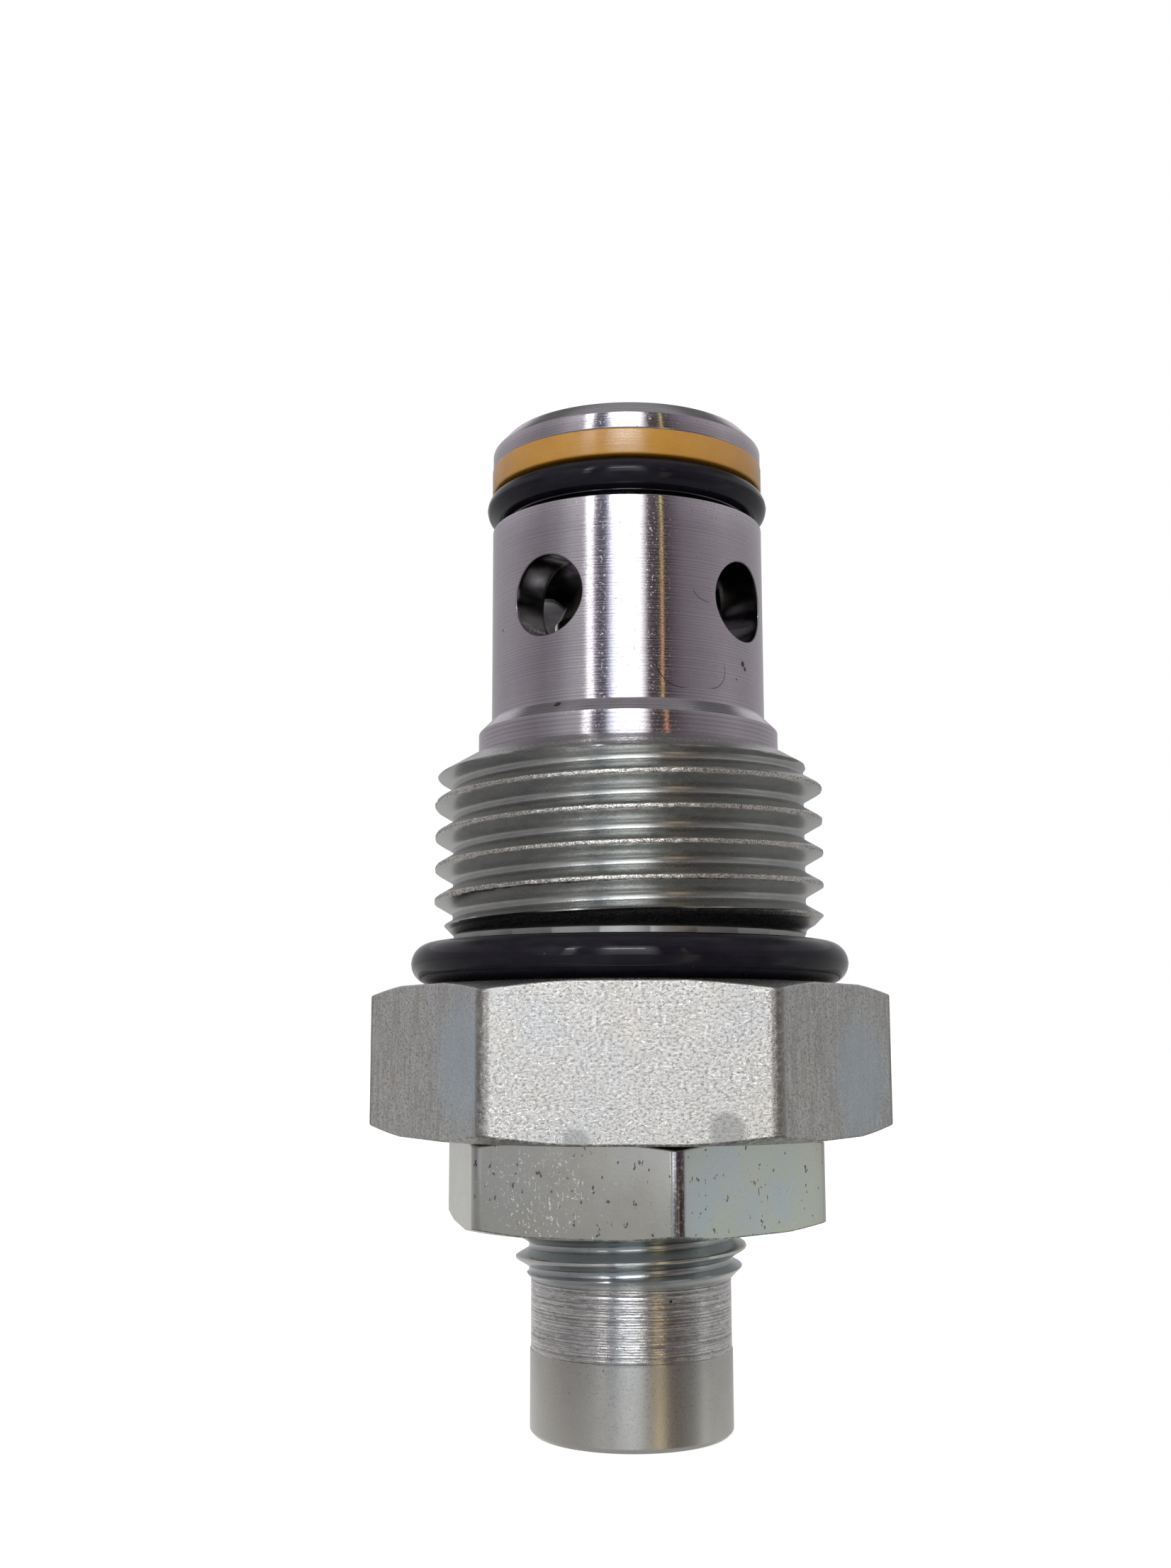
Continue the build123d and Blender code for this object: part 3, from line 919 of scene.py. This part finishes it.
def zinc_hex():
    """Zinc on the hexagon: a fine grain, with stains and cool patches, and painted shade on its
    corners and lower edges.
    """
    g = Graph("body_zinc_hexagon")
    grain = g.noise(6.2, 4.0, 0.76, stretch=(0.8, 0.8, 1.2))
    fine = g.noise(15.0, 2.0, 0.6)
    base = g.clouds(0.8, (0.67, 0.665, 0.635), (0.73, 0.725, 0.70))
    base = g.blend(g.span(grain, 0.37, 0.48, 0.85, 0.0), base, (0.20, 0.19, 0.17))
    base = g.blend(g.span(grain, 0.52, 0.66, 0.0, 0.8), base, (0.98, 0.975, 0.95))
    # Every face but the front flat is darkened in upright streaks
    off_front = g.span(g.y, 0.05 - HEX_APOTHEM, 0.4 - HEX_APOTHEM)
    side_dark_streaks = g.noise(2.2, 3.0, 0.7, stretch=(1.0, 1.0, 0.18))
    side_dark_streaks = g.times(g.span(side_dark_streaks, 0.6, 0.35, 0.1, 0.6), off_front)
    base = g.blend(side_dark_streaks, base, (0.36, 0.355, 0.34))
    speck = g.span(g.noise(7.0, 2.0, 0.6), 0.70, 0.74)
    base = g.blend(g.times(speck, 0.7), base, (0.16, 0.14, 0.12))
    base = plated_tint(g, base, 0.15)
    cool = g.times(g.near_any(HEX_COOL_PATCHES), off_front)
    base = g.blend(g.times(cool, 0.7), base, (0.56, 0.66, 0.73))
    stain = g.near_any(HEX_STAINS)
    base = g.blend(g.times(stain, 0.6), base, (0.42, 0.43, 0.42))
    worn = g.times(g.wear_and_edge_shade(), g.span(g.noise(2.0, 3.0), 0.3, 0.6))
    base = g.blend(g.times(worn, 0.35), base, (0.82, 0.82, 0.79))
    # Painted shade along the lower edge and chamfer, above the nut
    base = g.blend(g.lower_edge_painted_shade(HEX_LOW_Z), base, (0.17, 0.14, 0.12))
    # Painted shade on the rounded corners, broken up by noise
    corner = g.span(g.from_upright(), HEX_CORNER_SHADE_R - 0.07, HEX_CORNER_SHADE_R + 0.02)
    corner = g.times(corner, g.span(g.noise(3.0, 3.0, 0.7), 0.3, 0.55, 0.3, 0.7))
    base = g.blend(corner, base, (0.20, 0.185, 0.175))
    rough = g.math("ADD", g.span(grain, 0.3, 0.7, 0.30, 0.23), g.times(stain, 0.2))
    normal = g.bump(grain, 44.0)
    normal = g.bump(fine, 6.0, normal)
    return g.shade(Base_Color=base, Metallic=1.0, Roughness=rough, Normal=normal)


def zinc_thread():
    """Zinc on the cavity thread, with crests worn bright and ragged."""
    g = Graph("body_zinc_thread")
    streak = g.noise(1.2, 3.0, 0.6, stretch=(1.0, 1.0, 4.0))
    speck = g.noise(8.0, 3.0, 0.7, stretch=(1.0, 1.0, 2.0))
    base = g.blend(g.span(streak, 0.3, 0.7), (0.40, 0.405, 0.39), (0.48, 0.49, 0.475))
    base = g.blend(g.span(speck, 0.27, 0.32, 0.7, 0.0), base, (0.12, 0.11, 0.10))
    wear_and_edge_shade = g.span(g.wear_and_edge_shade(), 0.35, 1.0)
    ragged = g.noise(11.0, 3.0, 0.85, stretch=(1.0, 1.0, 1.6))
    bright = g.times(wear_and_edge_shade, g.span(ragged, 0.46, 0.58))
    base = g.blend(bright, base, (0.95, 0.91, 0.84))
    pit = g.times(wear_and_edge_shade, g.span(ragged, 0.50, 0.42))
    base = g.blend(g.times(pit, 0.85), base, (0.17, 0.15, 0.13))
    rough = g.math("ADD", g.span(streak, 0.3, 0.7, 0.24, 0.30), g.times(wear_and_edge_shade, -0.06))
    rough = g.math("ADD", rough, g.span(g.z, RELIEF_TOP_Z + 0.2, RELIEF_TOP_Z - 0.1, 0.0, 0.08))
    normal = g.bump(g.math("ADD", speck, g.lines(9.0, 2.0, 0.6, 0.1)), 0.3)
    normal = g.bump(g.times(ragged, wear_and_edge_shade), 18.0, normal)
    return g.shade(Base_Color=base, Metallic=1.0, Roughness=rough, Normal=normal)


def zinc_stem():
    """Zinc on the stem: satin below, a shiny turned band, and a glossier thread."""
    g = Graph("stem_zinc")
    over_plain = g.span(g.z, STEM_BAND_LOW_Z - 0.12, STEM_BAND_LOW_Z + 0.1)
    under_thread = g.span(g.z, STEM_THREAD_LOW_Z - 0.3, STEM_THREAD_LOW_Z + 0.1, 1.0, 0.0)
    band = g.times(over_plain, under_thread)
    threaded = g.span(g.z, STEM_THREAD_LOW_Z - 0.1, STEM_THREAD_LOW_Z + 0.1)
    satin = g.noise(8.0, 3.0, 0.75)
    fine = g.lines(7.0, 3.0, 0.85)
    base = g.clouds(0.5, (0.56, 0.55, 0.525), (0.63, 0.62, 0.60))
    base = plated_tint(g, base, 0.15)
    dashes = g.noise(1.5, 3.0, 0.75, stretch=(1.0, 1.0, 6.0))
    shiny = g.blend(g.span(fine, 0.4, 0.6), (0.42, 0.415, 0.41), (0.88, 0.87, 0.86))
    shiny = g.blend(g.span(dashes, 0.46, 0.36, 0.0, 0.55), shiny, (0.17, 0.165, 0.17))
    shiny = g.blend(g.span(dashes, 0.58, 0.66, 0.0, 0.9), shiny, (1.0, 0.99, 0.98))
    base = g.blend(band, base, shiny)
    base = g.blend(threaded, base, (0.50, 0.53, 0.535))
    mottle = g.span(satin, 0.44, 0.32, 0.0, 0.55)
    base = g.blend(mottle, base, (0.30, 0.29, 0.27))
    speck = g.span(g.noise(2.6, 2.0, 0.6), 0.735, 0.76)
    base = g.blend(speck, base, (0.12, 0.11, 0.10))
    base = g.blend(g.times(g.wear_and_edge_shade(), 0.9), base, (0.92, 0.90, 0.84))
    smooth = g.span(dashes, 0.35, 0.65, 0.22, 0.09)
    dull = g.span(satin, 0.3, 0.7, 0.25, 0.32)
    rough = g.pick(band, dull, smooth)
    rough = g.pick(threaded, rough, 0.2)
    normal = g.bump(g.times(g.math("ADD", fine, dashes), band), 11.0)
    normal = g.bump(satin, 5.0, normal)
    g.shade(Base_Color=base, Metallic=1.0, Roughness=rough, Normal=normal)
    return g.shade(Anisotropic=0.45, Anisotropic_Rotation=0.25, Tangent=g.around())


def zinc_nut():
    """Zinc on the lock nut: satin, with scuffs, pits and one corner darkened in an upright strip."""
    g = Graph("nut_zinc")
    satin = g.noise(9.0, 3.0, 0.6)
    base = g.clouds(0.45, (0.56, 0.555, 0.52), (0.63, 0.625, 0.59))
    cool = g.noise(0.35, 3.0, 0.6)
    tinted = g.blend(g.span(cool, 0.4, 0.6), (0.71, 0.755, 0.665), (0.655, 0.745, 0.775))
    base = g.blend(g.times(g.near(*NUT_COOL_SIDE), 0.9), base, tinted)
    base = plated_tint(g, base, 0.2)
    dash = g.noise(7.5, 2.0, 0.65, stretch=(1.0, 1.0, 0.55))
    limit = g.pick(g.near(*NUT_SCUFFED), 0.74, 0.61)
    nick = g.span(g.math("SUBTRACT", dash, limit), 0.0, 0.02)
    base = g.blend(g.times(nick, 0.9), base, (1.0, 0.99, 0.96))
    # One corner is darkened in an upright strip
    dark_corner_strip = g.span(g.from_upright(*NUT_DARK_CORNER), 0.34, 0.24)
    dark = g.times(dark_corner_strip, g.span(g.noise(6.0), 0.25, 0.5))
    base = g.blend(g.times(dark, 0.85), base, (0.13, 0.12, 0.15))
    pit = g.span(g.noise(3.0, 2.0, 0.7, stretch=(1.0, 1.0, 0.6)), 0.66, 0.69)
    base = g.blend(g.times(pit, 0.85), base, (0.14, 0.13, 0.12))
    base = g.blend(g.times(g.wear_and_edge_shade(), 0.25), base, (0.85, 0.85, 0.82))
    # Painted shade along the lower edge and chamfer
    base = g.blend(g.lower_edge_painted_shade(NUT_LOW[2]), base, (0.16, 0.15, 0.15))
    rough = g.math("ADD", g.span(satin, 0.3, 0.7, 0.22, 0.16), g.times(nick, 0.15))
    normal = g.bump(satin, 1.2)
    normal = g.bump(nick, 3.5, normal)
    return g.shade(Base_Color=base, Metallic=1.0, Roughness=rough, Normal=normal)


def rubber():
    """Black seal rubber with faint smears and dust."""
    g = Graph("seal_rubber")
    skin = g.noise(6.0, 3.0, 0.6)
    dust = g.span(g.noise(3.4, 2.0, 0.7), 0.74, 0.78)
    smear = g.noise(0.7, 3.0, 0.6, stretch=(1.0, 1.0, 2.5))
    base = g.blend(g.span(smear, 0.35, 0.7), (0.008, 0.007, 0.011), (0.014, 0.013, 0.019))
    base = g.blend(g.times(dust, 0.4), base, (0.20, 0.19, 0.20))
    rough = g.span(smear, 0.35, 0.65, 0.05, 0.13)
    normal = g.bump(skin, 0.35)
    return g.shade(Base_Color=base, Roughness=rough, Normal=normal, Specular_IOR_Level=0.24)


def amber():
    """Amber plastic with turning scratches; its rounded edges are darkened as painted shade."""
    g = Graph("backup_amber")
    scratch = g.noise(6.0, 3.0, 0.75, stretch=(1.0, 1.0, 2.5))
    base = g.clouds(0.7, (0.70, 0.35, 0.035), (0.82, 0.44, 0.06))
    base = g.blend(g.span(scratch, 0.55, 0.7, 0.0, 0.5), base, (0.90, 0.66, 0.30))
    # Painted shade: the rounded edges are darkened towards brown
    base = g.blend(g.times(g.wear_and_edge_shade(), 0.6), base, (0.34, 0.15, 0.03))
    rough = g.span(scratch, 0.35, 0.65, 0.08, 0.26)
    normal = g.bump(g.math("ADD", scratch, g.lines(6.0, 2.0)), 7.0)
    return g.shade(Base_Color=base, Roughness=rough, Normal=normal, Specular_IOR_Level=0.8)


def white_seal():
    """White plastic of the inner backup ring."""
    g = Graph("backup_white")
    cloud = g.noise(1.5, 3.0, 0.6)
    base = g.blend(g.span(cloud, 0.3, 0.7), (0.80, 0.79, 0.75), (0.90, 0.89, 0.86))
    normal = g.bump(g.noise(8.0, 3.0), 4.0)
    return g.shade(Base_Color=base, Roughness=g.span(cloud, 0.3, 0.7, 0.4, 0.55), Normal=normal)


def paint_node(node, material):
    """Gives a CAD node that stays in view its material."""
    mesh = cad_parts[node].data
    mesh.materials.clear()
    mesh.materials.append(material)


# ---------------- studio

# Radiance around the object, red green blue or one grey, by azimuth in degrees from -Y towards +X
STUDIO_LEVEL = [
    (-180, (0.48, 0.47, 0.49)),
    (-150, (0.42, 0.41, 0.43)),
    (-111, (0.38, 0.36, 0.385)),
    (-75, (0.25, 0.23, 0.25)),
    (-60, (0.30, 0.29, 0.31)),
    (-46, (0.48, 0.47, 0.49)),
    (-34.4, (0.50, 0.49, 0.51)),
    (-33.4, (2.10, 2.10, 2.12)),
    (-29, (2.10, 2.10, 2.12)),
    (-27, (0.25, 0.24, 0.27)),
    (-22, (0.10, 0.09, 0.12)),
    (-17, (0.14, 0.14, 0.18)),
    (-13.2, (1.10, 1.20, 1.40)),
    (-9, (2.00, 2.08, 2.20)),
    (10, 2.20),
    (14.6, (0.90, 0.88, 0.88)),
    (17, (0.10, 0.08, 0.09)),
    (32, (0.06, 0.05, 0.055)),
    (38, (0.13, 0.115, 0.13)),
    (48, (0.22, 0.20, 0.22)),
    (64, (0.28, 0.26, 0.28)),
    (90, (0.37, 0.35, 0.37)),
    (118, (0.36, 0.35, 0.36)),
    (150, (0.42, 0.41, 0.43)),
    (180, (0.48, 0.47, 0.49)),
]
STUDIO_LOW = [
    (-180, 0.62),
    (-153, (0.60, 0.60, 0.59)),
    (-110, (0.44, 0.43, 0.42)),
    (-71, (0.32, 0.31, 0.31)),
    (-45, (0.33, 0.33, 0.32)),
    (-38, (0.37, 0.37, 0.36)),
    (-32, (0.38, 0.38, 0.37)),
    (-28, (0.34, 0.34, 0.36)),
    (-20, (0.35, 0.35, 0.37)),
    (-16, (0.42, 0.43, 0.44)),
    (8, (0.44, 0.45, 0.46)),
    (13, (0.38, 0.38, 0.39)),
    (19, (0.24, 0.22, 0.20)),
    (27, (0.28, 0.23, 0.17)),
    (28.5, (0.90, 0.74, 0.48)),
    (35, (0.80, 0.66, 0.43)),
    (37, (0.26, 0.22, 0.18)),
    (44, (0.12, 0.10, 0.08)),
    (58, (0.15, 0.13, 0.115)),
    (74, (0.22, 0.22, 0.21)),
    (83, (0.32, 0.32, 0.31)),
    (87, (0.55, 0.56, 0.54)),
    (92, (0.55, 0.56, 0.54)),
    (98, (0.43, 0.43, 0.42)),
    (150, (0.45, 0.44, 0.43)),
    (180, 0.62),
]
STUDIO_HIGH = [
    (-120, 0.16),
    (-90, 0.34),
    (-50, 0.34),
    (-20, 0.33),
    (10, 0.33),
    (28, (0.27, 0.27, 0.265)),
    (55, 0.24),
    (90, 0.27),
    (120, 0.16),
]
STUDIO_PEAK = 2.6  # the brightest level that the tables may hold
STUDIO_ZENITH = (0.36, 0.36, 0.365)
STUDIO_NADIR = (0.34, 0.34, 0.345)
LAMP = (26.0, 26.0, 27.0)  # a narrow bright strip within the softboxes
LAMP_AZIMUTHS = [(-34, -30), (-13, 8)]
LAMP_ELEVATIONS = (27.8, 28.8)
WARM_LIGHT_LOW = (3.4, 1.25, 0.85)  # a thin upright warm light, redder below and yellower above
WARM_LIGHT_HIGH = (2.2, 2.05, 0.75)
WARM_LIGHT_AZIMUTHS = (28.8, 29.3)
WARM_LIGHT_ELEVATIONS = (4, 30)
DIFFUSE_BOOST = 1.7  # how much brighter the studio is to matte surfaces than in reflections
HAZE = 0.5  # share of light that the upper part of the level ring has on top

# Elevations in degrees between which one part of the studio gives way to the next
NADIR_TO_LOW = (-50, -28)
LOW_TO_LEVEL = (-4.5, -0.5)
WARM_CHANGE = (12, 16)
HAZE_START = (19.3, 21.5)
LEVEL_TO_HIGH = (34, 46)
HIGH_TO_ZENITH = (58, 68)


def height_at(elevation):
    """The Z of a unit direction at an elevation in degrees."""
    return math.sin(math.radians(elevation))


def make_world():
    world = bpy.data.worlds.new("studio")
    bpy.context.scene.world = world
    world.use_nodes = True
    made = Nodes(world.node_tree)

    def between(value, low, high):
        inputs = {"Value": value, "From Min": low, "From Max": high}
        settings = {"clamp": True, "interpolation_type": "SMOOTHSTEP"}
        return made.node("MapRange", settings, inputs).outputs["Result"]

    def risen(first, last):
        """0 below the first elevation, 1 above the last."""
        return between(z, height_at(first), height_at(last))

    def within(value, scale, low, high, soft):
        """1 between two angles, fading to 0 over a soft border outside them."""
        rise = between(value, scale(low - soft), scale(low))
        return made.math("SUBTRACT", rise, between(value, scale(high), scale(high + soft)))

    def window(elevations, elevation_soft, azimuths, azimuth_soft):
        """1 in a window of the studio, fading to 0 over a soft border."""
        upright = within(z, height_at, *elevations, elevation_soft)
        return made.times(upright, within(azimuth, math.radians, *azimuths, azimuth_soft))

    def ring(table):
        """The colours of a table, around the full turn."""
        ramp = made.node("ValToRGB", {}, {0: share})
        stops = ramp.color_ramp.elements
        while len(stops) < len(table):
            stops.new(0.5)
        for stop, (degrees, _) in zip(stops, table):
            stop.position = degrees / 360 + 0.5
        for stop, (_, colour) in zip(stops, table):
            stop.color = (*np.broadcast_to(colour, 3) / STUDIO_PEAK, 1.0)
        return made.vector("SCALE", ramp.outputs["Color"], scale=STUDIO_PEAK)

    direction = made.node("TexCoord").outputs["Generated"]
    x, y, z = made.node("SeparateXYZ", {}, {0: direction}).outputs
    azimuth = made.math("ARCTAN2", x, made.times(y, -1.0))
    share = made.math("MULTIPLY_ADD", azimuth, 1 / TURN, 0.5)
    around = made.blend(risen(*LOW_TO_LEVEL), ring(STUDIO_LOW), ring(STUDIO_LEVEL))
    for azimuths in LAMP_AZIMUTHS:
        around = made.blend(window(LAMP_ELEVATIONS, 0.5, azimuths, 1), around, LAMP)
    warm = made.blend(risen(*WARM_CHANGE), WARM_LIGHT_LOW, WARM_LIGHT_HIGH)
    warm_here = window(WARM_LIGHT_ELEVATIONS, 2, WARM_LIGHT_AZIMUTHS, 0.25)
    around = made.blend(warm_here, around, warm)
    haze = made.math("MULTIPLY_ADD", risen(*HAZE_START), HAZE, 1.0)
    around = made.vector("SCALE", around, scale=haze)
    around = made.blend(risen(*NADIR_TO_LOW), STUDIO_NADIR, around)
    around = made.blend(risen(*LEVEL_TO_HIGH), around, ring(STUDIO_HIGH))
    around = made.blend(risen(*HIGH_TO_ZENITH), around, STUDIO_ZENITH)
    rays = made.node("LightPath").outputs
    power = made.math("MULTIPLY_ADD", rays["Is Diffuse Ray"], DIFFUSE_BOOST - 1, 1.0)
    soft = made.node("Background", {}, {"Color": around, "Strength": power})
    white = made.node("Background", {}, {"Color": (1, 1, 1, 1), "Strength": 1.0})
    inputs = {0: rays["Is Camera Ray"], 1: soft.outputs[0], 2: white.outputs[0]}
    mixed = made.node("MixShader", {}, inputs)
    made.node("OutputWorld", {}, {"Surface": mixed.outputs[0]})


FLOOR_HALF = 3.0  # metres
FLOOR_GAP = 0.00002
FLOOR_GREY = 0.60
FLOOR_GLOW = 0.75  # seen by the camera only, so that the floor looks white and lights nothing


def make_floor():
    z = STEM_END_Z * MM - FLOOR_GAP
    mesh = bpy.data.meshes.new("floor")
    corners = [(x * FLOOR_HALF, y * FLOOR_HALF, z) for x, y in ((-1, -1), (1, -1), (1, 1), (-1, 1))]
    mesh.from_pydata(corners, [], [(0, 1, 2, 3)])
    floor = add_object("floor", mesh)
    floor.visible_glossy = False
    material = bpy.data.materials.new("floor_white")
    material.use_nodes = True
    made = Nodes(material.node_tree)
    matte = made.node("BsdfDiffuse", {}, {"Color": (FLOOR_GREY, FLOOR_GREY, FLOOR_GREY, 1)})
    seen = made.node("LightPath").outputs["Is Camera Ray"]
    glow = made.node("Emission", {}, {"Strength": made.times(seen, FLOOR_GLOW)})
    both = made.node("AddShader", {}, {0: matte.outputs[0], 1: glow.outputs[0]})
    made.node("OutputMaterial", {}, {"Surface": both.outputs[0]})
    mesh.materials.append(material)


# The place in millimetres, the direction it looks in, and its roll in radians
CAMERA_AT = Vector((0.069, -96.004, -3.0)) * MM
CAMERA_AIM = Vector((-0.02593, 0.98828, 0.15041)).normalized()
CAMERA_ROLL = -0.0019
CAMERA_LENS = 38.82


def make_camera():
    data = bpy.data.cameras.new("camera")
    data.sensor_width = 36.0
    data.lens = CAMERA_LENS
    data.clip_start = 0.002
    data.clip_end = 20.0
    right = CAMERA_AIM.cross(Vector((0, 0, 1))).normalized()
    up = right.cross(CAMERA_AIM)
    turned_right = right * math.cos(CAMERA_ROLL) + up * math.sin(CAMERA_ROLL)
    turned_up = up * math.cos(CAMERA_ROLL) - right * math.sin(CAMERA_ROLL)
    axes = Matrix((turned_right, turned_up, -CAMERA_AIM)).transposed().to_4x4()
    camera = add_object("camera", data)
    camera.matrix_world = Matrix.Translation(CAMERA_AT) @ axes
    bpy.context.scene.camera = camera


make_world()
make_floor()
make_camera()
black_rubber = rubber()
make_body(zinc_hex(), zinc_thread())
make_cage(turned_steel(), drilled_steel_painted_shade())
make_stem(zinc_stem())
make_nut(zinc_nut())
make_o_ring(black_rubber, "port_o_ring")
make_o_ring(black_rubber, "nose_o_ring")
make_backup_ring(amber())
paint_node("stem_o_ring", black_rubber)
paint_node("stem_backup_ring", white_seal())
bpy.context.scene.view_settings.view_transform = "Standard"
